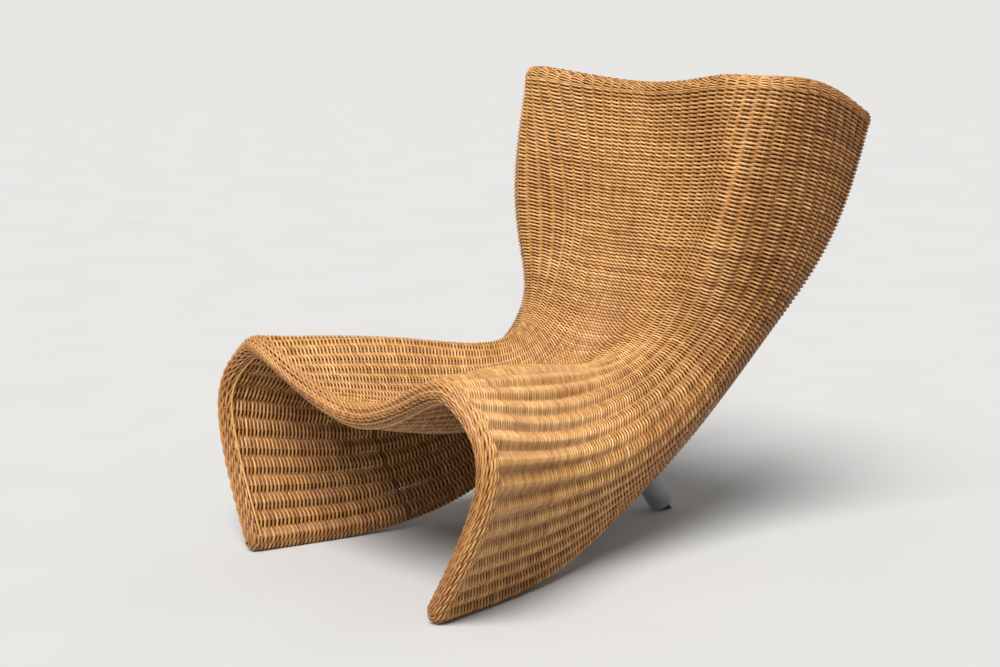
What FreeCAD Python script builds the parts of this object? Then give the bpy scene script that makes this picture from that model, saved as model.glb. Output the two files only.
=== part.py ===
import FreeCAD
import Part
import Sketcher
import math
import os

# Woven lounge chair: a hollow double-walled shell of cane weave on a frame of
# aluminium rods, standing on its two front tips and one raked aluminium leg.
# The front faces -Y, +X is the sitter's left and the floor is z = 0.

doc = FreeCAD.newDocument("woven_chair")
sheet = doc.addObject("Spreadsheet::Sheet", "sizes")

# Driving sizes in millimetres, angles in degrees
sizes = {
    "shell_width": 740,  # between the two flanks of the front arch
    "shell_depth": 910,  # from the front crests to the rear corners
    "shell_height": 835,  # from the floor to just above the rails at the top
    "skin_thickness": 6.4,  # one wall of weave, at a rib
    "rib_height": 3,  # of the ribs along the chair, over the valleys between
    "sewing_reach": 0.01,  # facets of a wall that lie this near are joined
    "rod_diameter": 12,  # round rod of the frame
    "weave_clearance": 0.6,  # between the rods and the weave
    "leg_cant": 2.4,  # how far the leg stands up from square to the shell
    "leg_foot_diameter": 50,
    "leg_head_diameter": 58,
    "leg_wall": 4,
    "leg_boss_length": 60,  # solid head of the leg round its bolt
    "leg_overrun": 60,  # spare length that the floor and the shell cut off
    "foot_clearance": 2,  # under the lowest edge of the leg's square end
    "glide_plug_length": 22,
    "glide_nose_diameter": 22,
    "plug_clearance": 0.2,
    "plate_thickness": 5,
    "plate_length": 48,
    "plate_overlap": 4,  # reach of the plate into the rods, cut to fit them
    "plate_lift": -3,  # plate's middle from the middle of the shell
    "bolt_diameter": 12,
    "bolt_clearance": 0.5,
    "thread_clearance": 0.1,
    "bolt_thread_length": 45,  # engaged in the leg's boss
    "bolt_head_across": 19,
    "bolt_head_height": 5,
    "washer_diameter": 24,
    "washer_thickness": 2,
    "spacer_wall": 4,
    "spacer_clearance": 0.5,
    "spacer_seat_depth": 6,  # how far the spacer sinks into the leg's head
}
for row, (alias, value) in enumerate(sizes.items(), 1):
    sheet.set("A%d" % row, alias)
    sheet.set("B%d" % row, str(value))
    sheet.setAlias("B%d" % row, alias)
doc.recompute()

# Stations along the chair, from the front rim over the seat and up the back.
# Each rail's place is a share of the half width, the depth and the height
# above the resting line, for the centre, crest, shoulder, flank and edge.
stationShares = (
    # front rim
    ((0, 0.011, 0.332), (0.581, -0.005, 0.418), (0.824, 0, 0.412),
     (1, -0.005, 0.289), (0.716, -0.022, 0.0013)),
    # middle of the seat
    ((0, 0.225, 0.283), (0.419, 0.225, 0.406), (0.622, 0.242, 0.357),
     (0.784, 0.220, 0.246), (0.595, 0.247, 0.0073)),
    # rear of the seat
    ((0, 0.401, 0.289), (0.324, 0.407, 0.375), (0.500, 0.434, 0.344),
     (0.689, 0.423, 0.246), (0.486, 0.467, 0.081)),
    # waist
    ((0, 0.549, 0.350), (0.311, 0.549, 0.387), (0.486, 0.577, 0.387),
     (0.676, 0.599, 0.320), (0.514, 0.648, 0.222)),
    # small of the back
    ((0, 0.659, 0.485), (0.351, 0.648, 0.491), (0.568, 0.654, 0.504),
     (0.730, 0.731, 0.467), (0.635, 0.797, 0.424)),
    # middle of the back
    ((0, 0.725, 0.688), (0.446, 0.725, 0.694), (0.716, 0.676, 0.706),
     (0.824, 0.813, 0.688), (0.797, 0.923, 0.651)),
    # top edge
    ((0, 0.754, 0.964), (0.565, 0.715, 0.987), (0.790, 0.732, 0.989),
     (0.902, 0.835, 0.978), (0.865, 1, 0.908)),
)
# Places of the five rails across the shell, from the middle to the edge
railShares = (0, 0.5, 1, 1.6, 2.3)
edgeShare = railShares[-1]
# Share of the depth that lies in front of the chair's middle, y = 0
middleShare = 0.489

# Stations that carry a hoop of the frame
hoopStations = {
    "front_hoop": 0,
    "seat_hoop": 5 / 3,
    "waist_hoop": 8 / 3,
    "lumbar_hoop": 4,
    "back_hoop": 5,
    "top_hoop": 6,
}
lastStation = len(stationShares) - 1

# Where the leg's axis meets the shell, and how near the stations lie that
# shape the leg's head
legStation = 3.16
legReach = 1

# Rods along the shell, counted in steps of the walls from the middle
railSteps = {"edge_rail": 15, "crest_rail": 4, "spine_rail": 1}

# Counts of steps. A sideways step is the same for every wall and rod, and a
# rib runs at every second one.
stepsPerStation = 3
sideSteps = 16
seatSteps = 4  # steps each way that the leg's head is cut to
roundSteps = 4
cornerSteps = 4
ringSides = 6
stepShare = edgeShare / sideSteps

rodRadius = sheet.rod_diameter / 2
innerHalf = sheet.rod_diameter + sheet.weave_clearance
outerHalf = innerHalf + sheet.skin_thickness
zAxis = FreeCAD.Vector(0, 0, 1)
slope = 0.001


def naturalSpline(knots, points):
    """Return a function that runs smoothly through the points."""
    last = len(knots) - 1
    steps = [knots[i + 1] - knots[i] for i in range(last)]
    bends = [points[0] * 0]
    scales = [0]
    for i in range(1, last):
        pivot = 2 * (steps[i - 1] + steps[i]) - steps[i - 1] * scales[-1]
        after = (points[i + 1] - points[i]) * (6 / steps[i])
        before = (points[i] - points[i - 1]) * (6 / steps[i - 1])
        bends.append((after - before - bends[-1] * steps[i - 1]) * (1 / pivot))
        scales.append(steps[i] / pivot)
    bends.append(points[0] * 0)
    for i in range(last - 1, 0, -1):
        bends[i] = bends[i] - bends[i + 1] * scales[i]

    def at(place):
        i = max(k for k in range(last) if k == 0 or place >= knots[k])
        low = (knots[i + 1] - place) / steps[i]
        high = (place - knots[i]) / steps[i]
        bend = bends[i] * (low ** 3 - low) + bends[i + 1] * (high ** 3 - high)
        return points[i] * low + points[i + 1] * high + bend * (steps[i] ** 2 / 6)

    return at


def mirrored(point):
    return FreeCAD.Vector(-point.x, point.y, point.z)


# The five rails, each a smooth curve through its seven stations
rise = sheet.shell_height - outerHalf
rails = []
for rail in range(len(railShares)):
    stationPoints = [
        FreeCAD.Vector(
            station[rail][0] * sheet.shell_width / 2,
            (station[rail][1] - middleShare) * sheet.shell_depth,
            outerHalf + station[rail][2] * rise,
        )
        for station in stationShares
    ]
    rails.append(naturalSpline(range(lastStation + 1), stationPoints))
acrossKnots = [-share for share in railShares[:0:-1]] + list(railShares)
sections = {}


def middlePoint(along, across):
    """Point on the middle face of the shell."""
    if along not in sections:
        half = [rail(along) for rail in rails]
        whole = [mirrored(point) for point in half[:0:-1]] + half
        sections[along] = naturalSpline(acrossKnots, whole)
    return sections[along](across)


def directions(along, across):
    """Unit vectors along the shell, across it and out of its sitting side."""
    forward = middlePoint(along + slope, across) - middlePoint(along - slope, across)
    sideways = middlePoint(along, across + slope) - middlePoint(along, across - slope)
    normal = sideways.cross(forward).normalize()
    return forward.normalize(), sideways.normalize(), normal


def liftedPoint(along, across, lift):
    normal = directions(along, across)[2]
    return middlePoint(along, across) + normal * lift


def fractions(start, end, count):
    return [start + (end - start) * i / count for i in range(count + 1)]


def ribLift(step):
    """Lift of the shell's outer face, high on a rib and low in a valley."""
    return outerHalf - sheet.rib_height * (step % 2)


def ribbedRun(along, face, steps=sideSteps):
    """Points across the sitting side, face 1, or the other side, face -1."""
    numbers = range(-steps, steps + 1)
    return [liftedPoint(along, stepShare * step, face * ribLift(step)) for step in numbers]


def smoothRun(along, lift, steps=sideSteps):
    """Points across the shell, so many steps each way from the middle."""
    return [liftedPoint(along, stepShare * step, lift) for step in range(-steps, steps + 1)]


def halfRound(frame, radius):
    """Points of a half circle round an edge, from its sitting side."""
    centre, normal, outward = frame
    turns = fractions(0, math.pi, roundSteps)
    return [centre + (normal * math.cos(t) + outward * math.sin(t)) * radius for t in turns]


def sideFrame(along, side):
    """Centre, normal and outward direction at a side edge."""
    forward, sideways, normal = directions(along, edgeShare * side)
    outward = forward.cross(normal).normalize() * side
    return middlePoint(along, edgeShare * side), normal, outward


def endFrame(along, across, side):
    """Centre, normal and outward direction at the front or the top edge."""
    forward, sideways, normal = directions(along, across)
    outward = normal.cross(sideways).normalize() * side
    return middlePoint(along, across), normal, outward


def edgedRun(along, radius, run):
    """Run of points across the sitting side, carried on round both side edges."""
    right = halfRound(sideFrame(along, -1), radius)[::-1]
    left = halfRound(sideFrame(along, 1), radius)
    return right[:-1] + run + left[1:]


def flatFace(corners):
    return Part.Face(Part.makePolygon([*corners, corners[0]]))


def facets(near, far):
    """Triangles between two runs of points, split alike left and right."""
    faces = []
    for i in range(len(near) - 1):
        a, b, c, d = near[i], near[i + 1], far[i + 1], far[i]
        if i < (len(near) - 1) / 2:
            pair = ((a, b, d), (b, c, d))
        else:
            pair = ((a, b, c), (a, c, d))
        for corners in pair:
            sides = [corners[k].distanceToPoint(corners[k - 1]) for k in range(3)]
            if min(sides) > sheet.sewing_reach:
                faces.append(flatFace(corners))
    return faces


def wallFacets(sections):
    """Facets of a wall through sections of an outer and an inner run."""
    faces = []
    for (outer, inner), (nextOuter, nextInner) in zip(sections, sections[1:]):
        faces += facets(outer, nextOuter) + facets(inner, nextInner)
        for end in (0, -1):
            faces += facets([outer[end], inner[end]], [nextOuter[end], nextInner[end]])
    return faces


def sewnSolid(faces):
    joined = Part.makeCompound(faces)
    joined.sewShape(sheet.sewing_reach)
    solid = Part.Solid(joined.Shells[0])
    if solid.Volume < 0:
        solid.reverse()
    return solid


def wallSolid(sections):
    """Wall through its sections, with a strip that closes each end."""
    ends = [facets(*sections[0]), facets(*sections[-1])]
    return sewnSolid(wallFacets(sections) + ends[0] + ends[1])


def borderSolid(along, side):
    """Half-round wall along the front or the top, with a ball for each corner."""
    numbers = range(-sideSteps, sideSteps + 1)
    frames = [endFrame(along, stepShare * step, side) for step in numbers]
    faces = wallFacets([
        (halfRound(frame, ribLift(step)), halfRound(frame, innerHalf))
        for step, frame in zip(numbers, frames)
    ])
    for hand, frame in ((-1, frames[0]), (1, frames[-1])):
        centre, normal, outward = frame
        edgeOut = sideFrame(along, hand)[2]
        aside = (edgeOut - outward * outward.dot(edgeOut)).normalize()
        runs = []
        for turn in fractions(0, outward.getAngle(edgeOut), cornerSteps):
            facing = outward * math.cos(turn) + aside * math.sin(turn)
            runs.append(halfRound((centre, normal, facing), outerHalf))
        for near, far in zip(runs, runs[1:]):
            faces += facets(near, far)
        inner = halfRound(frame, innerHalf)
        faces.append(flatFace(inner))
        faces.append(flatFace(runs[-1] + [inner[-1], inner[0]]))
    return sewnSolid(faces)


def addShape(name, shape):
    feature = doc.addObject("Part::Feature", name)
    feature.Label = name
    feature.Shape = shape
    feature.Placement = FreeCAD.Placement()
    return feature


# Two walls of weave and the borders that close the front rim and the top edge
stations = fractions(0, lastStation, lastStation * stepsPerStation)
seatSections = [
    (edgedRun(s, outerHalf, ribbedRun(s, 1)), edgedRun(s, innerHalf, smoothRun(s, innerHalf)))
    for s in stations
]
underSections = [(ribbedRun(s, -1), smoothRun(s, -innerHalf)) for s in stations]
addShape("seat_skin", wallSolid(seatSections))
underBlank = addShape("under_skin_blank", wallSolid(underSections))
addShape("front_border", borderSolid(0, -1))
addShape("top_border", borderSolid(lastStation, 1))


def rodShape(places, lift):
    """Six-sided rod lofted through rings square to its path."""
    points = [liftedPoint(along, across, lift) for along, across in places]
    rings = []
    for i, point in enumerate(points):
        before, after = points[max(i - 1, 0)], points[min(i + 1, len(points) - 1)]
        heading = (after - before).normalize()
        normal = directions(*places[i])[2]
        first = (normal - heading * normal.dot(heading)).normalize()
        second = heading.cross(first)
        turns = [2 * math.pi * k / ringSides for k in range(ringSides)]
        ring = [point + (first * math.cos(t) + second * math.sin(t)) * rodRadius for t in turns]
        rings.append(Part.makePolygon(ring + ring[:1]))
    return Part.makeLoft(rings, True, True)


# Frame: hoops lie on the sitting side of the rods that run lengthwise
for name, along in hoopStations.items():
    steps = range(-sideSteps, sideSteps + 1)
    addShape(name, rodShape([(along, stepShare * step) for step in steps], rodRadius))

for name, step in railSteps.items():
    share = stepShare * step
    for hand, side in (("left", 1), ("right", -1)):
        shape = rodShape([(along, share * side) for along in stations], -rodRadius)
        addShape("%s_%s" % (name, hand), shape)

# Axis of the leg, from the floor up to the middle of the shell
junction = middlePoint(legStation, 0)
square = directions(legStation, 0)[2]
legRake = math.degrees(math.atan2(-square.y, square.z)) - sheet.leg_cant
legTurn = FreeCAD.Rotation(FreeCAD.Vector(1, 0, 0), legRake)
legAxis = legTurn.multVec(zAxis)
junctionRise = junction.z / legAxis.z
legFoot = junction - legAxis * junctionRise
footDrop = -legAxis.y * sheet.leg_foot_diameter / 2
footRise = (sheet.foot_clearance + footDrop) / legAxis.z


def onLegAxis(distance):
    """Placement on the leg's axis at a distance from the floor."""
    return FreeCAD.Placement(legFoot + legAxis * distance, legTurn)


def bodySketch(body, name, plane):
    sketch = body.newObject("Sketcher::SketchObject", name)
    role = [f for f in body.Origin.OriginFeatures if f.Role == plane][0]
    sketch.AttachmentSupport = [(role, "")]
    sketch.MapMode = "FlatFace"
    return sketch


def bindCircle(sketch, expression):
    """Circle round the sketch's origin with its diameter from the sheet."""
    centre = FreeCAD.Vector()
    ring = sketch.addGeometry(Part.Circle(centre, zAxis, sheet.rod_diameter), False)
    sketch.addConstraint(Sketcher.Constraint("Coincident", ring, 3, -1, 1))
    bound = sketch.addConstraint(Sketcher.Constraint("Diameter", ring, sheet.rod_diameter))
    sketch.setExpression("Constraints[%d]" % bound, expression)


def ringBody(name, outer, inner, length, placement):
    """Plain ring or tube, padded from a sketch of two circles."""
    body = doc.addObject("PartDesign::Body", name)
    body.Label = name
    sketch = bodySketch(body, name + "_sketch", "XY_Plane")
    bindCircle(sketch, outer)
    if inner:
        bindCircle(sketch, inner)
    pad = body.newObject("PartDesign::Pad", name + "_pad")
    pad.Profile = sketch
    pad.setExpression("Length", length)
    sketch.Visibility = False
    body.Placement = placement
    return body


def turnedBody(name, corners, placement):
    """Piece turned from an outline of radius and height expressions."""
    body = doc.addObject("PartDesign::Body", name)
    body.Label = name
    sketch = bodySketch(body, name + "_outline", "XZ_Plane")
    spots = [
        FreeCAD.Vector(sheet.evalExpression(radius), sheet.evalExpression(height), 0)
        for radius, height in corners
    ]
    count = len(spots)
    for i in range(count):
        sketch.addGeometry(Part.LineSegment(spots[i], spots[(i + 1) % count]), False)
    for i in range(count):
        following = (i + 1) % count
        sketch.addConstraint(Sketcher.Constraint("Coincident", i, 2, following, 1))
    for i, (radius, height) in enumerate(corners):
        for kind, value, expression in (
            ("DistanceX", spots[i].x, radius),
            ("DistanceY", spots[i].y, height),
        ):
            if value == 0:
                target = -2 if kind == "DistanceX" else -1
                sketch.addConstraint(Sketcher.Constraint("PointOnObject", i, 1, target))
                continue
            bound = sketch.addConstraint(Sketcher.Constraint(kind, -1, 1, i, 1, value))
            sketch.setExpression("Constraints[%d]" % bound, expression)
    turn = body.newObject("PartDesign::Revolution", name + "_turn")
    turn.Profile = sketch
    turn.ReferenceAxis = (sketch, ["V_Axis"])
    turn.Angle = 360
    sketch.Visibility = False
    body.Placement = placement
    return body


# Heights along the leg's axis, from the start of the leg's overrun
plateMiddle = junctionRise + sheet.plate_lift
derived = {
    "foot_end": sheet.leg_overrun + footRise,
    "head_end": sheet.leg_overrun + junctionRise,
    "seat_height": sheet.leg_overrun + junctionRise - outerHalf - sheet.spacer_seat_depth,
    "plate_under": sheet.leg_overrun + plateMiddle - sheet.plate_thickness / 2,
    "rod_spread": 2 * middlePoint(legStation, stepShare * railSteps["spine_rail"]).x,
    "floor_reach": sheet.leg_foot_diameter * 2,
}
for row, (alias, value) in enumerate(derived.items(), len(sizes) + 2):
    sheet.set("A%d" % row, alias)
    sheet.set("B%d" % row, str(value))
    sheet.setAlias("B%d" % row, alias)
doc.recompute()


def boxAt(name, size, corner):
    box = doc.addObject("Part::Box", name)
    for side, expression in zip(("Length", "Width", "Height"), size):
        box.setExpression(side, expression)
    box.Placement = FreeCAD.Placement(corner, FreeCAD.Rotation())
    return box


def combined(kind, name, base, tool):
    """Boolean of two pieces, labelled as the node it makes."""
    result = doc.addObject("Part::" + kind, name)
    result.Base = base
    result.Tool = tool
    result.Label = name
    return result


# Leg: a tapered tube with a square end and a solid head, cut to the shell
legStart = onLegAxis(-sheet.leg_overrun)
footRadius = "sizes.leg_foot_diameter / 2"
headRadius = "sizes.leg_head_diameter / 2"
boreRadius = "sizes.leg_foot_diameter / 2 - sizes.leg_wall"
spacerRadius = "(sizes.bolt_diameter + sizes.bolt_clearance) / 2 + sizes.spacer_wall"
pocketRadius = spacerRadius + " + sizes.spacer_clearance"
threadRadius = "sizes.bolt_diameter / 2 + sizes.thread_clearance"
bossStart = "sizes.seat_height - sizes.leg_boss_length"
legOutline = (
    (boreRadius, "sizes.foot_end"),
    (footRadius, "sizes.foot_end"),
    (headRadius, "sizes.head_end"),
    (pocketRadius, "sizes.head_end"),
    (pocketRadius, "sizes.seat_height"),
    (threadRadius, "sizes.seat_height"),
    (threadRadius, bossStart),
    (boreRadius, bossStart),
)
legTurned = turnedBody("leg_turned", legOutline, legStart)
nearby = [s for s in stations if abs(s - legStation) < legReach]
cutSections = [
    (ribbedRun(s, -1, seatSteps), smoothRun(s, outerHalf, seatSteps)) for s in nearby
]
shellCut = addShape("shell_cut", wallSolid(cutSections))
combined("Cut", "leg", legTurned, shellCut)

# Glide: a plug in the leg's bore with a nose that is cut level with the floor
plugDiameter = "2 * (%s - sizes.plug_clearance)" % boreRadius
plug = ringBody("glide_plug", plugDiameter, None, "sizes.glide_plug_length", onLegAxis(footRise))
nose = ringBody("glide_nose", "sizes.glide_nose_diameter", None, "sizes.foot_end", legStart)
glideBlank = combined("Fuse", "glide_blank", plug, nose)
reach = sheet.floor_reach
twice = "2 * sizes.floor_reach"
belowCorner = legFoot - FreeCAD.Vector(reach, reach, reach)
belowFloor = boxAt("below_floor", (twice, twice, "sizes.floor_reach"), belowCorner)
combined("Cut", "leg_glide", glideBlank, belowFloor)

# Spacer through the weave, between the leg's head and the plate
seatPlace = onLegAxis(sheet.seat_height - sheet.leg_overrun)
boltHole = "sizes.bolt_diameter + sizes.bolt_clearance"
spacer = ringBody("leg_spacer", "2 * (%s)" % spacerRadius, boltHole,
                  "sizes.plate_under - sizes.seat_height", seatPlace)
holeRound = ringBody("hole_round", "2 * (%s)" % pocketRadius, None,
                     "sizes.head_end - sizes.seat_height", seatPlace)
combined("Cut", "under_skin", underBlank, holeRound)

# Plate between the two spine rails, cut to fit against them
plateBody = doc.addObject("PartDesign::Body", "plate_blank")
plateSketch = bodySketch(plateBody, "plate_outline", "XY_Plane")
plateWidth = "(sizes.rod_spread / 2 - sizes.rod_diameter / 2 + sizes.plate_overlap)"
plateEnds = "(sizes.plate_length / 2)"
halfWidth = sheet.evalExpression(plateWidth)
halfLength = sheet.evalExpression(plateEnds)
plateCorners = [
    FreeCAD.Vector(-halfWidth, -halfLength, 0),
    FreeCAD.Vector(halfWidth, -halfLength, 0),
    FreeCAD.Vector(halfWidth, halfLength, 0),
    FreeCAD.Vector(-halfWidth, halfLength, 0),
]
for i in range(4):
    plateSketch.addGeometry(Part.LineSegment(plateCorners[i], plateCorners[(i + 1) % 4]), False)
for i in range(4):
    plateSketch.addConstraint(Sketcher.Constraint("Coincident", i, 2, (i + 1) % 4, 1))
for kind, line in (("Horizontal", 0), ("Vertical", 1), ("Horizontal", 2), ("Vertical", 3)):
    plateSketch.addConstraint(Sketcher.Constraint(kind, line))
for kind, value, expression in (
    ("DistanceX", halfWidth, plateWidth),
    ("DistanceY", halfLength, plateEnds),
):
    bound = plateSketch.addConstraint(Sketcher.Constraint(kind, -1, 1, 1, 2, value))
    plateSketch.setExpression("Constraints[%d]" % bound, expression)
plateSketch.addConstraint(Sketcher.Constraint("Symmetric", 0, 1, 1, 2, -1, 1))
bindCircle(plateSketch, boltHole)
platePad = plateBody.newObject("PartDesign::Pad", "plate_pad")
platePad.Profile = plateSketch
platePad.setExpression("Length", "sizes.plate_thickness")
plateBody.Placement = onLegAxis(sheet.plate_under - sheet.leg_overrun)
spineRods = doc.addObject("Part::MultiFuse", "spine_rods")
spineRods.Shapes = [doc.getObject("spine_rail_left"), doc.getObject("spine_rail_right")]
plate = combined("Cut", "leg_plate", plateBody, spineRods)

# Washer and bolt, from the plate down into the leg's boss
platePlace = sheet.plate_under - sheet.leg_overrun + sheet.plate_thickness
washer = ringBody("leg_washer", "sizes.washer_diameter", boltHole,
                  "sizes.washer_thickness", onLegAxis(platePlace))
boltSeat = platePlace + sheet.washer_thickness
boltHead = doc.addObject("Part::Prism", "bolt_head")
boltHead.Polygon = 6
boltHead.setExpression("Circumradius", "sizes.bolt_head_across / sqrt(3)")
boltHead.setExpression("Height", "sizes.bolt_head_height")
boltHead.Placement = onLegAxis(boltSeat)
boltShank = doc.addObject("Part::Cylinder", "bolt_shank")
boltShank.setExpression("Radius", "sizes.bolt_diameter / 2")
boltEnd = sheet.seat_height - sheet.leg_overrun - sheet.bolt_thread_length
boltShank.setExpression("Height", "sizes.plate_under + sizes.plate_thickness"
                        " + sizes.washer_thickness - sizes.seat_height"
                        " + sizes.bolt_thread_length")
boltShank.Placement = onLegAxis(boltEnd)
bolt = combined("Fuse", "leg_bolt", boltHead, boltShank)
doc.recompute()

# Nodes handed over, one file each
nodes = ["seat_skin", "under_skin", "front_border", "top_border"]
nodes += list(hoopStations)
nodes += ["%s_%s" % (name, hand) for name in railSteps for hand in ("left", "right")]
nodes += ["leg_plate", "leg_spacer", "leg_washer", "leg_bolt", "leg", "leg_glide"]
faulty = [item.Name for item in doc.Objects if {"Invalid", "Error"} & set(item.State)]
if faulty:
    raise RuntimeError("not built: %s" % ", ".join(faulty))
os.makedirs("parts", exist_ok=True)
for name in nodes:
    shape = doc.getObject(name).Shape
    if shape.isNull() or not shape.isValid() or not shape.Solids:
        raise RuntimeError("no sound solid in " + name)
    shape.exportStep("parts/%s.step" % name)
print("%d nodes written" % len(nodes))
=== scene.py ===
import bpy
import bmesh
import math
import numpy as np
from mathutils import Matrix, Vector


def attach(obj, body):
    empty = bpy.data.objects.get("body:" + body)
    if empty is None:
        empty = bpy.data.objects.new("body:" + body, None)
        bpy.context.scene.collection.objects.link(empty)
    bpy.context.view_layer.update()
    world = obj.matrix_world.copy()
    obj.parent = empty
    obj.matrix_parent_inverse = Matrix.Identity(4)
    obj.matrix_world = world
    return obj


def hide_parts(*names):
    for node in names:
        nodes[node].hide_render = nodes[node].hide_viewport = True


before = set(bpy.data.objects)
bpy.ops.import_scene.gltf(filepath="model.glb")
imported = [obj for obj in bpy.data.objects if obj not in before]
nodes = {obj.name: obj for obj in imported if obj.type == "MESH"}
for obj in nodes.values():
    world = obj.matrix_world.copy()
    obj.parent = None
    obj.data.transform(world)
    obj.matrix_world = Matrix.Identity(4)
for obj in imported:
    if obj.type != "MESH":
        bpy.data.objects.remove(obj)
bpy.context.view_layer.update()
print("frame loaded")

# The shell's middle face, with the same stations as the solids. Each place is a
# share of the half width, the depth and the height above the resting line, for
# the centre, crest, shoulder, flank and edge. The places weren't chosen by hand:
# a solver fitted them to the outlines in the photograph, and they were rounded.
shell = {
    "width": 0.740,
    "depth": 0.910,
    "height": 0.835,
    "halfThickness": 0.019,
    "middleShare": 0.489,
    "stations": (
        ((0, 0.011, 0.332), (0.581, -0.005, 0.418), (0.824, 0, 0.412),
         (1, -0.005, 0.289), (0.716, -0.022, 0.0013)),  # front rim
        ((0, 0.225, 0.283), (0.419, 0.225, 0.406), (0.622, 0.242, 0.357),
         (0.784, 0.220, 0.246), (0.595, 0.247, 0.0073)),  # middle of the seat
        ((0, 0.401, 0.289), (0.324, 0.407, 0.375), (0.500, 0.434, 0.344),
         (0.689, 0.423, 0.246), (0.486, 0.467, 0.081)),  # rear of the seat
        ((0, 0.549, 0.350), (0.311, 0.549, 0.387), (0.486, 0.577, 0.387),
         (0.676, 0.599, 0.320), (0.514, 0.648, 0.222)),  # waist
        ((0, 0.659, 0.485), (0.351, 0.648, 0.491), (0.568, 0.654, 0.504),
         (0.730, 0.731, 0.467), (0.635, 0.797, 0.424)),  # small of the back
        ((0, 0.725, 0.688), (0.446, 0.725, 0.694), (0.716, 0.676, 0.706),
         (0.824, 0.813, 0.688), (0.797, 0.923, 0.651)),  # middle of the back
        ((0, 0.754, 0.964), (0.565, 0.715, 0.987), (0.790, 0.732, 0.989),
         (0.902, 0.835, 0.978), (0.865, 1, 0.908)),  # top edge
    ),
    "rails": (0, 0.5, 1, 1.6, 2.3),
}

# How the cane runs over the shell, in metres and counts of stakes
weave = {
    "rows": 160,
    "firstRow": 0.9,  # its distance from the front rim, in row pitches
    "spareRows": 0.4,  # free at both ends together, less one, in row pitches
    "stakesEachSide": 26,  # from the middle to one side edge
    "edgeGaps": 2,  # gaps between stakes round a side edge
    "stakesOverSeat": (0, 10.2, 14.8, 18.7, 26),  # stake at each rail, on the seat
    "stakesOverBack": (0, 9.8, 14.4, 19.2, 26),  # and on the back
    "shiftStations": (1.5, 4.5),  # where they shift from one to the other
    "bends": (0.1, 0.35, 0.65, 0.9),  # where a strand bends in each gap
    "reach": 0.0200,  # of the weave's outside from the middle face, at a stake
    "strandRadius": 0.00205,
    "stakeRadius": 0.0022,
    "swing": 0.0037,  # of a strand in front of and behind the stakes
    "dip": 0.0011,  # of both strands halfway between two stakes
    "usualGap": 0.022,  # both are more where the gap is wider than this
    "gapLimits": (0.9, 1.3),  # the least and the most of that change
    "rowGapLift": 0.018,  # height over the middle face where the gap of rows is measured
    "sizeLimits": (0.8, 1.3),  # of a strand's thickness, where rows are close or apart
    "sizeSpread": 0.025,
    "hiddenFullness": 0.9,  # more thickness where a strand is out of sight
    "jitter": 0.0001,
    "drift": 0.0009,  # slow wander of the rows, as woven by hand
    "pieces": 10,
}
rng = np.random.default_rng(7)


# Weights of the knots in a natural cubic spline at some places
def splineWeights(knots, places):
    knots = np.asarray(knots, float)
    places = np.asarray(places, float)
    count = len(knots)
    steps = np.diff(knots)
    left = np.zeros((count, count))
    right = np.zeros((count, count))
    left[0, 0] = left[-1, -1] = 1
    for i in range(1, count - 1):
        left[i, i - 1:i + 2] = steps[i - 1], 2 * (steps[i - 1] + steps[i]), steps[i]
        right[i, i - 1:i + 2] = 6 / steps[i - 1], -6 / steps[i - 1] - 6 / steps[i], 6 / steps[i]
    bends = np.linalg.solve(left, right)
    at = np.clip(np.searchsorted(knots, places, "right") - 1, 0, count - 2)
    low = (knots[at + 1] - places) / steps[at]
    high = 1 - low
    whole = np.eye(count)
    straight = low[:, None] * whole[at] + high[:, None] * whole[at + 1]
    bent = (low ** 3 - low)[:, None] * bends[at] + (high ** 3 - high)[:, None] * bends[at + 1]
    return straight + bent * (steps[at] ** 2 / 6)[:, None]


shellRise = shell["height"] - shell["halfThickness"]
railPoints = np.array([
    [(x * shell["width"] / 2, (y - shell["middleShare"]) * shell["depth"],
      shell["halfThickness"] + z * shellRise) for x, y, z in station]
    for station in shell["stations"]
])
stationPoints = np.concatenate([railPoints[:, :0:-1] * (-1, 1, 1), railPoints], axis=1)
railKnots = [-rail for rail in shell["rails"][:0:-1]] + list(shell["rails"])
lastStation = len(shell["stations"]) - 1
edgeRail = shell["rails"][-1]


def middleFace(along, across):
    weightsAlong = splineWeights(range(lastStation + 1), along)
    weightsAcross = splineWeights(railKnots, across)
    return np.einsum("ni,nj,ijk->nk", weightsAlong, weightsAcross, stationPoints)


def unit(vectors):
    return vectors / np.linalg.norm(vectors, axis=-1, keepdims=True)


# Centre points and the ways forward, sideways and out of the sitting side
def directions(along, across):
    small = 0.001
    forward = unit(middleFace(along + small, across) - middleFace(along - small, across))
    sideways = unit(middleFace(along, across + small) - middleFace(along, across - small))
    return middleFace(along, across), forward, sideways, unit(np.cross(sideways, forward))


# Stake number at each rail, which shifts smoothly from the seat to the back
def stakeKnots(along):
    start, end = weave["shiftStations"]
    mix = min(max((along - start) / (end - start), 0), 1)
    mix = mix * mix * (3 - 2 * mix)
    pairs = zip(weave["stakesOverSeat"], weave["stakesOverBack"])
    half = [seat * (1 - mix) + back * mix for seat, back in pairs]
    return [-number for number in half[:0:-1]] + half


# Stakes are numbered round the closed section: the sitting side, one side edge,
# the far side and the other side edge
eachSide = weave["stakesEachSide"]
edgeGaps = weave["edgeGaps"]
seatEnd = 2 * eachSide
turnEnd = seatEnd + edgeGaps
underEnd = turnEnd + 2 * eachSide
ringGaps = underEnd + edgeGaps


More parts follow.
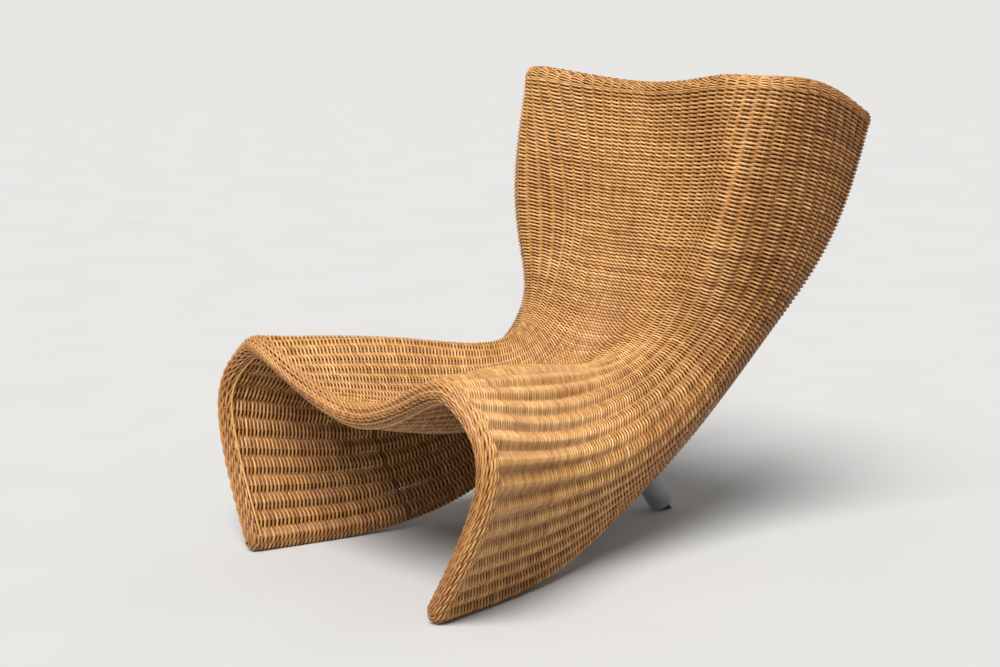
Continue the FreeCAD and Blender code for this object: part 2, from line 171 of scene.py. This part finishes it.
# Place, way out and way along at stakes round the closed section. A level of 0
# to lastStation is on the shell. Below and above, it is the angle round the
# front or the top border.
def ringFrames(level, ring):
    along = min(max(level, 0), lastStation)
    tilt = max(-level, level - lastStation, 0)
    end = 1 if level > lastStation / 2 else -1
    ring = np.asarray(ring, float) % ringGaps
    stake = np.where(ring < seatEnd, ring - eachSide, eachSide)
    stake = np.where(ring > turnEnd, eachSide - (ring - turnEnd), stake)
    stake = np.where(ring > underEnd, -eachSide, stake)
    turn = np.interp(ring, [seatEnd, turnEnd, underEnd, ringGaps], [0, math.pi, math.pi, 0])
    across = splineWeights(stakeKnots(along), stake) @ np.array(railKnots)
    across = np.clip(across, -edgeRail, edgeRail)
    centre, forward, sideways, normal = directions(np.full(len(ring), float(along)), across)
    hand = np.where(across > 0, 1.0, -1.0)[:, None]
    aside = unit(np.cross(forward, normal)) * hand
    cosTurn, sinTurn = np.cos(turn)[:, None], np.sin(turn)[:, None]
    if tilt == 0:
        return centre, normal * cosTurn + aside * sinTurn, forward
    outward = unit(np.cross(normal, sideways)) * end
    aside = unit(aside - outward * np.sum(outward * aside, axis=1, keepdims=True))
    cosTilt, sinTilt = math.cos(tilt), math.sin(tilt)
    flat = normal * cosTurn + aside * sinTurn
    return centre, flat * cosTilt + outward * sinTilt, (outward * cosTilt - flat * sinTilt) * end


# Canes through runs of points, as one mesh piece. Each has its own tone and its
# own strip of the piece's flat map.
def caneBundle(name, runs, radius, closed=True):
    sides = 6
    stripMargin = 0.04
    curve = bpy.data.curves.new(name, "CURVE")
    curve.dimensions = "3D"
    curve.bevel_depth = radius
    curve.bevel_resolution = 1  # gives the six sides
    lines, thicknesses, shades = zip(*runs)
    for line, thickness in zip(lines, thicknesses):
        spline = curve.splines.new("POLY")
        spline.points.add(len(line) - 1)
        spot = np.ones((len(line), 4))
        spot[:, :3] = line
        spot[:, 2] = np.maximum(spot[:, 2], radius * thickness)  # stays above the floor
        spline.points.foreach_set("co", spot.ravel())
        spline.points.foreach_set("radius", np.broadcast_to(thickness, len(line)).astype(float))
        spline.use_cyclic_u = closed
    maker = bpy.data.objects.new(name + "_path", curve)
    bpy.context.scene.collection.objects.link(maker)
    bpy.context.view_layer.update()
    mesh = bpy.data.meshes.new_from_object(maker)
    bpy.data.objects.remove(maker)
    bpy.data.curves.remove(curve)
    mesh.name = name
    mesh.polygons.foreach_set("use_smooth", np.ones(len(mesh.polygons), bool))
    tones = np.concatenate([np.broadcast_to(shade, len(line)) for line, shade in zip(lines, shades)])
    layer = mesh.attributes.new("toneAndShade", "FLOAT", "POINT")
    layer.data.foreach_set("value", np.repeat(tones, sides).astype(np.float32))
    strips = []
    for number, line in enumerate(lines):
        spans = len(line) if closed else len(line) - 1
        step, side = np.divmod(np.arange(spans * sides), sides)
        start, end = step / spans, (step + 1) / spans
        low = (number + stripMargin + (1 - 2 * stripMargin) * side / sides) / len(lines)
        high = (number + stripMargin + (1 - 2 * stripMargin) * (side + 1) / sides) / len(lines)
        strips.append(np.stack([start, high, end, high, end, low, start, low], axis=1))
    flatMap = mesh.uv_layers[0]
    flatMap.name = "OFBake"
    flatMap.data.foreach_set("uv", np.concatenate(strips).ravel().astype(np.float32))
    piece = bpy.data.objects.new(name, mesh)
    bpy.context.scene.collection.objects.link(piece)
    return piece


# Levels of the rows, evenly spaced over the mean of the rails
finePoints = 241
finePlaces = np.linspace(0, lastStation, finePoints)
lengths = []
for rail in shell["rails"]:
    line = middleFace(finePlaces, np.full(finePoints, float(rail)))
    lengths.append(np.concatenate([[0], np.cumsum(np.linalg.norm(np.diff(line, axis=0), axis=1))]))
meanLength = np.mean(lengths, axis=0)
rowPitch = meanLength[-1] / (weave["rows"] + weave["spareRows"])
rowLengths = (np.arange(weave["rows"]) + weave["firstRow"]) * rowPitch
rowLevels = np.interp(rowLengths, meanLength, finePlaces)
print("row pitch %.1f mm" % (rowPitch * 1000))

ring = (np.arange(ringGaps)[:, None] + np.array(weave["bends"])).ravel()
wanderTurns = np.array([3, 5, 8, 13, 21])
wanderShifts = rng.uniform(0, 2 * math.pi, len(wanderTurns))


def wander(level, places):
    angles = 2 * math.pi * wanderTurns[:, None] * places / ringGaps + wanderShifts[:, None]
    return weave["drift"] * np.sin(angles + level * wanderTurns[:, None] / 4).mean(axis=0) * 2


# Tones of the canes, from 0 for the darkest to 1: each cane's own tone, with painted shade and painted
# highlight laid over it. Stakes are counted from the middle of the sitting side, and each shade grows from
# the first to the second.
caneToneAndShade = {
    "usual": 0.62,
    "spread": 0.09,
    "canesPerStrand": 6,
    "recessShade": 0.5,  # painted shade where a strand lies deep in the wall, behind a stake
    "wingShade": 0.34,  # painted shade on the outside of the wings, turned from the light, and behind the back
    "wingStakes": (15, 21),
    "wingLevels": (1.8, 3.4, 5),
    "wingShares": (0, 1, 0.65),
    "low": 0.16,  # painted shade, darker towards the side edges, where the skirts and wings turn from the light, and on the far side
    "lowStakes": (20, 26),
    "paintedRibLight": 0.08,  # painted highlight at the stakes down the sides, on the ribs
    "paintedValleyShade": 0.2,  # and painted shade halfway between them, in the valleys
    "sideStakes": (13, 18),
    "darkest": 0.08,
}


# Tone of a strand: each cane in it has its own, and it changes where one ends. Painted shade and painted
# highlight are added on top.
def caneTonesAndShade(count, level, places, recessShade, dips=0):
    canes = caneToneAndShade["canesPerStrand"]
    joints = np.sort(rng.integers(0, count, canes - 1))
    drawn = rng.normal(caneToneAndShade["usual"], caneToneAndShade["spread"], canes)
    tones = drawn[np.searchsorted(joints, np.arange(count))]
    stake = np.where(places < seatEnd, np.abs(places - eachSide), eachSide)
    # painted shade on the outer sides of the wings and behind the back
    wingShade = np.interp(stake, caneToneAndShade["wingStakes"], (0, 1))
    wingShade = wingShade * np.interp(level, caneToneAndShade["wingLevels"], caneToneAndShade["wingShares"])
    # painted shade towards the side edges and on the far side
    low = np.interp(stake, caneToneAndShade["lowStakes"], (0, 1))
    side = np.interp(stake, caneToneAndShade["sideStakes"], (0, 1)) * (places < seatEnd)
    # painted highlight on the ribs down the sides and painted shade in the valleys between them
    tones = tones + (caneToneAndShade["paintedRibLight"] - caneToneAndShade["paintedValleyShade"] * dips) * side
    tones = tones - caneToneAndShade["wingShade"] * wingShade - caneToneAndShade["low"] * low
    # painted shade where the strand goes behind the stakes, deep in the wall
    return np.clip(tones - caneToneAndShade["recessShade"] * recessShade, caneToneAndShade["darkest"], 1)


# Two strands of one row. They go in front of and behind the stakes by turns, lie
# side by side between them, and are fuller where they are out of sight.
def pairedRow(level, step):
    centre, out, along = ringFrames(level, ring)
    ahead, outAhead = ringFrames(level + step, ring)[:2]
    rowGap = np.linalg.norm(ahead - centre + (outAhead - out) * weave["rowGapLift"], axis=1)
    size = np.clip(rowGap / rowPitch, *weave["sizeLimits"])
    stakeGap = np.linalg.norm(np.roll(centre, -2, axis=0) - np.roll(centre, 2, axis=0), axis=1)
    wide = np.clip(stakeGap / weave["usualGap"], *weave["gapLimits"])
    runs = []
    for phase in (0, math.pi):
        angle = math.pi * ring + phase
        inFront = np.cos(angle)
        slant = np.sin(angle) * np.abs(np.sin(angle))
        behind = np.clip(-inFront, 0, 1)
        shift = wander(level, ring) - rowGap / 4 * slant + rng.normal(0, weave["jitter"], len(ring))
        rise = weave["reach"] - weave["strandRadius"] * size
        rise = rise - weave["swing"] * wide * (1 - inFront)
        rise = rise - weave["dip"] * wide ** 2 * (1 - np.cos(2 * angle))
        thick = size * (1 + rng.normal(0, weave["sizeSpread"]) + weave["hiddenFullness"] * behind)
        tones = caneTonesAndShade(len(ring), level, ring, behind, np.sin(angle) ** 2)
        runs.append((centre + out * rise[:, None] + along * shift[:, None], thick, tones))
    return runs


# Twisted rows. Where two values are given, they are for the seat and the sides.
twist = {
    "sideShares": (0.45, 0.65),  # where the seat's values turn into those of the sides
    "stepsPerGap": 8,
    "pointsPerBulge": 4,
    "startAngle": 0.4,
    "sizeSpread": 0.03,
    "hiddenFullness": (0.2, 0.7),
    "shade": 0.11,  # darker than the weave
}


# How far places round the section are from the middle of the sitting or the far
# side, as shares of the way to the edge
def sideShare(places):
    fromMiddle = np.minimum(np.abs(places - eachSide), np.abs(places - turnEnd - eachSide))
    return fromMiddle / eachSide


# Two strands twisted round each other, with a bulge at every so much length
def twistedRow(level, bulges, swings, lift):
    places = np.linspace(0, ringGaps, ringGaps * twist["stepsPerGap"] + 1)
    centre, out = ringFrames(level, places)[:2]
    steps = np.linalg.norm(np.diff(centre + out * lift, axis=0), axis=1)
    side = sideShare((places[1:] + places[:-1]) / 2)
    turns = np.concatenate([[0], np.cumsum(steps / np.interp(side, twist["sideShares"], bulges))])
    whole = 2 * round(turns[-1] / 2)
    evenTurns = np.arange(whole * twist["pointsPerBulge"]) / twist["pointsPerBulge"]
    evenPlaces = np.interp(evenTurns, turns * whole / turns[-1], places)
    centre, out, along = ringFrames(level, evenPlaces)
    side = sideShare(evenPlaces)
    swing = np.interp(side, twist["sideShares"], swings)
    straight = np.interp(side, twist["sideShares"], (0, 1))
    fullness = np.interp(side, twist["sideShares"], twist["hiddenFullness"])
    runs = []
    for phase in (0, math.pi):
        angle = math.pi * evenTurns + phase + twist["startAngle"]
        behind = np.clip(-np.cos(angle), 0, 1)
        rise = lift - swing + swing * np.cos(angle)
        slant = np.sin(angle) * np.abs(np.sin(angle)) ** straight
        shift = wander(level, evenPlaces) - swings[0] * slant
        place = centre + out * rise[:, None] + along * shift[:, None]
        thick = 1 + rng.normal(0, twist["sizeSpread"]) + fullness * behind
        tones = caneTonesAndShade(len(angle), level, evenPlaces, behind) - twist["shade"]
        runs.append((place, thick, tones))
    return runs


# Weave of the shell, in bands from the front to the top
wovenPieces = []
levelSteps = np.gradient(rowLevels)
bands = np.array_split(np.stack([rowLevels, levelSteps], axis=1), weave["pieces"])
for number, band in enumerate(bands, 1):
    runs = []
    for level, step in band:
        runs += pairedRow(level, step if level < lastStation / 2 else -step)
    wovenPieces.append(caneBundle("weave_band_%02d" % number, runs, weave["strandRadius"]))
print("weave made:", sum(len(p.data.polygons) for p in wovenPieces) * 2, "triangles")

# Stakes: each runs up the sitting side and back down the far side as one loop,
# and one runs up each side edge
stakeShape = {
    "levels": 66,
    "borderSteps": 5,
    "overlap": 0.0006,  # into the strands, so that they touch
    "tones": (0.2, 0.8),
    "edgeTone": 0.5,
}
tilts = np.linspace(0, math.pi / 2, stakeShape["borderSteps"] + 1)[1:]
stakeLevels = [-tilt for tilt in tilts[::-1]]
stakeLevels += list(np.linspace(0, lastStation, stakeShape["levels"]))
stakeLevels += [lastStation + tilt for tilt in tilts]
seatNumbers = np.arange(seatEnd + 1)
farNumbers = underEnd - seatNumbers
edgeNumbers = [seatEnd + i for i in range(1, edgeGaps)]
edgeNumbers += [underEnd + i for i in range(1, edgeGaps)]


def stakeLines(numbers, levels):
    lift = weave["reach"] - 2 * weave["strandRadius"] - weave["stakeRadius"] + stakeShape["overlap"]
    lines = []
    for level in levels:
        centre, out = ringFrames(level, numbers)[:2]
        lines.append(centre + out * lift)
    return np.array(lines)


seatLines = stakeLines(seatNumbers, stakeLevels)
farLines = stakeLines(farNumbers, stakeLevels)
edgeLines = stakeLines(edgeNumbers, stakeLevels[1:-1])
stakeRuns = []
for i in range(len(seatNumbers)):
    loop = np.concatenate([seatLines[:, i], farLines[-2:0:-1, i]])
    stakeRuns.append((loop, 1.0, rng.uniform(*stakeShape["tones"])))
stakes = caneBundle("stakes", stakeRuns, weave["stakeRadius"])
edgeRuns = [(edgeLines[:, i], 1.0, stakeShape["edgeTone"]) for i in range(len(edgeNumbers))]
edgeStakes = caneBundle("edge_stakes", edgeRuns, weave["stakeRadius"], closed=False)
print("stakes made")

# Twisted rows round the front rim with a smooth cane inside them, and the rows
# and the twist of the top edge. Rows are at angles round the rim and the edge.
border = {
    "frontRows": (-1.17, -0.77, -0.37, 0),
    "frontRadius": 0.0020,
    "frontBulges": (0.0125, 0.022),  # a bulge's length, on the seat and on the sides
    "frontSwings": (0.0019, 0.0027),
    "frontLift": 0.0176,
    "lineLevel": 0.017,  # of the smooth cane
    "lineRadius": 0.0022,
    "lineLift": 0.0192,
    "linePoints": 353,
    "lineTone": 0.62,
    "topRows": (0, 0.3, 0.6, 0.9, 1.2),
    "topStep": 0.3,
    "topBulges": (0.018, 0.018),
    "topLift": 0.0178,
    "topRadius": 0.0020,
    "lastTilt": 1.45,  # of the row that closes each edge
    "frontLastSwings": (0.0012, 0.0016),
    "topLastSwings": (0.0020, 0.0020),
}
bulges, lift, lastTilt = border["frontBulges"], border["frontLift"], border["lastTilt"]
frontRuns = []
for level in border["frontRows"]:
    frontRuns += twistedRow(level, bulges, border["frontSwings"], lift)
frontRows = caneBundle("front_rows", frontRuns, border["frontRadius"])
tipRuns = twistedRow(-lastTilt, bulges, border["frontLastSwings"], lift)
frontTwist = caneBundle("front_twist", tipRuns, border["frontRadius"])

farPlaces = np.linspace(turnEnd, underEnd, border["linePoints"])
centre, out = ringFrames(border["lineLevel"], farPlaces)[:2]
lineRun = (centre + out * border["lineLift"], 1.0, border["lineTone"])
rimLine = caneBundle("rim_line", [lineRun], border["lineRadius"], closed=False)

topRuns = []
for tilt in border["topRows"]:
    topRuns += pairedRow(lastStation + tilt, border["topStep"])
topRows = caneBundle("top_rows", topRuns, weave["strandRadius"])
topLevel = lastStation + lastTilt
twistRuns = twistedRow(topLevel, border["topBulges"], border["topLastSwings"], border["topLift"])
topTwist = caneBundle("top_twist", twistRuns, border["topRadius"])
print("borders made")


# Materials
def newMaterial(name):
    material = bpy.data.materials.new(name)
    material.use_nodes = True
    tree = material.node_tree
    tree.nodes.clear()
    output = tree.nodes.new("ShaderNodeOutputMaterial")
    shader = tree.nodes.new("ShaderNodeBsdfPrincipled")
    tree.links.new(shader.outputs[0], output.inputs[0])
    return material, tree, shader


def ramp(tree, source, stops):
    node = tree.nodes.new("ShaderNodeValToRGB")
    while len(node.color_ramp.elements) < len(stops):
        node.color_ramp.elements.new(0.5)
    for element, (place, colour) in zip(node.color_ramp.elements, stops):
        element.position = place
        element.color = (*colour, 1)
    tree.links.new(source, node.inputs[0])
    return node.outputs[0]


def noise(tree, scale, detail):
    place = tree.nodes.new("ShaderNodeTexCoord")
    node = tree.nodes.new("ShaderNodeTexNoise")
    node.inputs["Scale"].default_value = scale
    node.inputs["Detail"].default_value = detail
    tree.links.new(place.outputs["Object"], node.inputs[0])
    return node.outputs[0]


def multiplied(tree, strength, colour, tint):
    node = tree.nodes.new("ShaderNodeMix")
    node.data_type = "RGBA"
    node.blend_type = "MULTIPLY"
    node.inputs[0].default_value = strength
    tree.links.new(colour, node.inputs[6])
    tree.links.new(tint, node.inputs[7])
    return node.outputs[2]


def bump(tree, shader, source, strength, distance):
    node = tree.nodes.new("ShaderNodeBump")
    node.inputs["Strength"].default_value = strength
    node.inputs["Distance"].default_value = distance
    tree.links.new(source, node.inputs["Height"])
    tree.links.new(node.outputs[0], shader.inputs["Normal"])


def setSockets(shader, sockets):
    for name, value in sockets.items():
        shader.inputs[name].default_value = value


# Cane: a tone for each strand from one of two sets, darkest first, under marks. The darker set, for the
# stakes, is painted shade in the slots between the strands.
# A mark has its noise's scale and detail, where it ends and clear cane starts,
# its tint and its strength.
cane = {
    "toneStops": (0.0, 0.35, 0.7, 1.0),
    "honey": ((0.150, 0.050, 0.013), (0.41, 0.187, 0.052), (0.70, 0.397, 0.137), (0.87, 0.60, 0.28)),
    # painted shade: the stakes' darker tones, seen in the slots between the strands
    "shadedStakeTones": ((0.12, 0.040, 0.010), (0.24, 0.095, 0.025), (0.36, 0.165, 0.048), (0.50, 0.27, 0.09)),
    "marks": (
        (7, 2, 0.35, 0.62, (0.84, 0.77, 0.70), 1.0),  # slow patches over the chair
        (70, 3, 0.33, 0.55, (0.76, 0.68, 0.58), 0.8),  # spots
        (420, 4, 0.3, 0.6, (0.80, 0.76, 0.70), 0.6),  # fibres
    ),
    "sockets": {"Roughness": 0.38, "Specular IOR Level": 0.4, "Coat Weight": 0.16, "Coat Roughness": 0.28},
    "grain": (900, 3),
    "grainStrength": 0.25,
    "grainDepth": 0.0003,
}


def caneMaterial(name, tones):
    material, tree, shader = newMaterial(name)
    toneOf = tree.nodes.new("ShaderNodeAttribute")
    toneOf.attribute_name = "toneAndShade"
    colour = ramp(tree, toneOf.outputs["Fac"], tuple(zip(cane["toneStops"], tones)))
    for scale, detail, markEnd, clearStart, tint, strength in cane["marks"]:
        stops = ((markEnd, tint), (clearStart, (1.0, 1.0, 1.0)))
        colour = multiplied(tree, strength, colour, ramp(tree, noise(tree, scale, detail), stops))
    tree.links.new(colour, shader.inputs["Base Color"])
    setSockets(shader, cane["sockets"])
    bump(tree, shader, noise(tree, *cane["grain"]), cane["grainStrength"], cane["grainDepth"])
    return material


# Metal, rubber and floor: a slow change between two shades
finish = {
    "satinAluminium": {
        "noise": (40, 4),
        "shades": ((0.30, 0.315, 0.335), (0.38, 0.395, 0.415)),
        "sockets": {"Metallic": 0.35, "Roughness": 0.48},
        "brushing": (900, 2),
        "brushStrength": 0.1,
        "brushDepth": 0.0002,
    },
    "frameAluminiumPaintedShade": {  # the frame inside the weave is duller, and its dark colour is painted shade, so that it stays dark in the slots
        "noise": (60, 4),
        "shades": ((0.13, 0.13, 0.135), (0.20, 0.20, 0.205)),
        "sockets": {"Metallic": 0.5, "Roughness": 0.7, "Specular IOR Level": 0.2},
    },
    "darkRubber": {
        "noise": (120, 3),
        "shades": ((0.02, 0.02, 0.022), (0.045, 0.045, 0.048)),
        "sockets": {"Roughness": 0.7},
    },
    "paleFloor": {
        "noise": (3, 4),
        "shades": ((0.515, 0.51, 0.50), (0.53, 0.525, 0.515)),
        "sockets": {"Roughness": 0.9, "Specular IOR Level": 0.1},
    },
    "shadeStops": (0.3, 0.7),
}


def shadedMaterial(name):
    look = finish[name]
    material, tree, shader = newMaterial(name)
    shade = ramp(tree, noise(tree, *look["noise"]), tuple(zip(finish["shadeStops"], look["shades"])))
    tree.links.new(shade, shader.inputs["Base Color"])
    setSockets(shader, look["sockets"])
    if "brushing" in look:
        bump(tree, shader, noise(tree, *look["brushing"]), look["brushStrength"], look["brushDepth"])
    return material


caneWeave = caneMaterial("honeyCane", cane["honey"])
# the stakes take the darker set, painted shade for the slots
shadedStakeMaterial = caneMaterial("shadedStakeCane", cane["shadedStakeTones"])
satinAluminium = shadedMaterial("satinAluminium")
frameAluminiumPaintedShade = shadedMaterial("frameAluminiumPaintedShade")
darkRubber = shadedMaterial("darkRubber")


def dress(piece, material, slotName, *stoodFor):
    piece.data.materials.clear()
    piece.data.materials.append(material)
    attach(piece, "root")
    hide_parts(*stoodFor)


for piece in wovenPieces:
    dress(piece, caneWeave, "weave", "seat_skin", "under_skin")
dress(stakes, shadedStakeMaterial, "weave", "seat_skin", "under_skin")
dress(edgeStakes, shadedStakeMaterial, "weave", "seat_skin", "under_skin")
dress(frontRows, caneWeave, "border", "front_border")
dress(frontTwist, caneWeave, "border", "front_border")
dress(rimLine, caneWeave, "weave", "seat_skin", "under_skin")
dress(topRows, caneWeave, "border", "top_border")
dress(topTwist, caneWeave, "border", "top_border")

# the rails and hoops are darkened as painted shade, so that they stay dark in the slots
finishes = {name: frameAluminiumPaintedShade for name in nodes if name.endswith("_hoop") or "_rail_" in name}
for name in ("leg_plate", "leg_spacer", "leg_washer", "leg_bolt", "leg"):
    finishes[name] = satinAluminium
finishes["leg_glide"] = darkRubber
for name, material in finishes.items():
    nodes[name].data.materials.clear()
    nodes[name].data.materials.append(material)
print("materials set")

# Floor, sky and one wide sun
room = {
    "floorRadius": 10000,
    "floorSegments": 96,
    "skyColour": (1, 0.995, 0.985, 1),
    "skyStrength": 0.38,
    "sunPlace": (0, -2, 3),
    "sunHeading": (-0.35, 0.60, -0.90),
    "sunStrength": 4.7,
    "sunAngle": 0.6,
}
made = bmesh.new()
bmesh.ops.create_circle(made, cap_ends=True, segments=room["floorSegments"], radius=room["floorRadius"])
floorMesh = bpy.data.meshes.new("floor")
made.to_mesh(floorMesh)
made.free()
floor = bpy.data.objects.new("floor", floorMesh)
bpy.context.scene.collection.objects.link(floor)
floorMesh.materials.append(shadedMaterial("paleFloor"))

world = bpy.data.worlds.new("studio")
bpy.context.scene.world = world
world.use_nodes = True
background = world.node_tree.nodes["Background"]
background.inputs[0].default_value = room["skyColour"]
background.inputs[1].default_value = room["skyStrength"]

sun = bpy.data.lights.new("key_light", "SUN")
sun.energy = room["sunStrength"]
sun.angle = room["sunAngle"]
keyLight = bpy.data.objects.new("key_light", sun)
bpy.context.scene.collection.objects.link(keyLight)
keyLight.location = room["sunPlace"]
keyLight.rotation_euler = Vector(room["sunHeading"]).to_track_quat("-Z", "Y").to_euler()
bpy.context.scene.view_settings.view_transform = "Standard"

# Camera, solved from the outlines in the photograph
cameraSet = {
    "place": (2.542, -2.251, 0.976),
    "aim": (-0.7540, 0.6336, -0.1733),
    "lens": 68.57,
    "sensorWidth": 36,
    "clipEnd": 20000,
}
cameraData = bpy.data.cameras.new("camera")
cameraData.lens = cameraSet["lens"]
cameraData.sensor_width = cameraSet["sensorWidth"]
cameraData.clip_end = cameraSet["clipEnd"]
camera = bpy.data.objects.new("camera", cameraData)
bpy.context.scene.collection.objects.link(camera)
camera.location = cameraSet["place"]
camera.rotation_euler = Vector(cameraSet["aim"]).to_track_quat("-Z", "Y").to_euler()
bpy.context.scene.camera = camera
print("stage set")
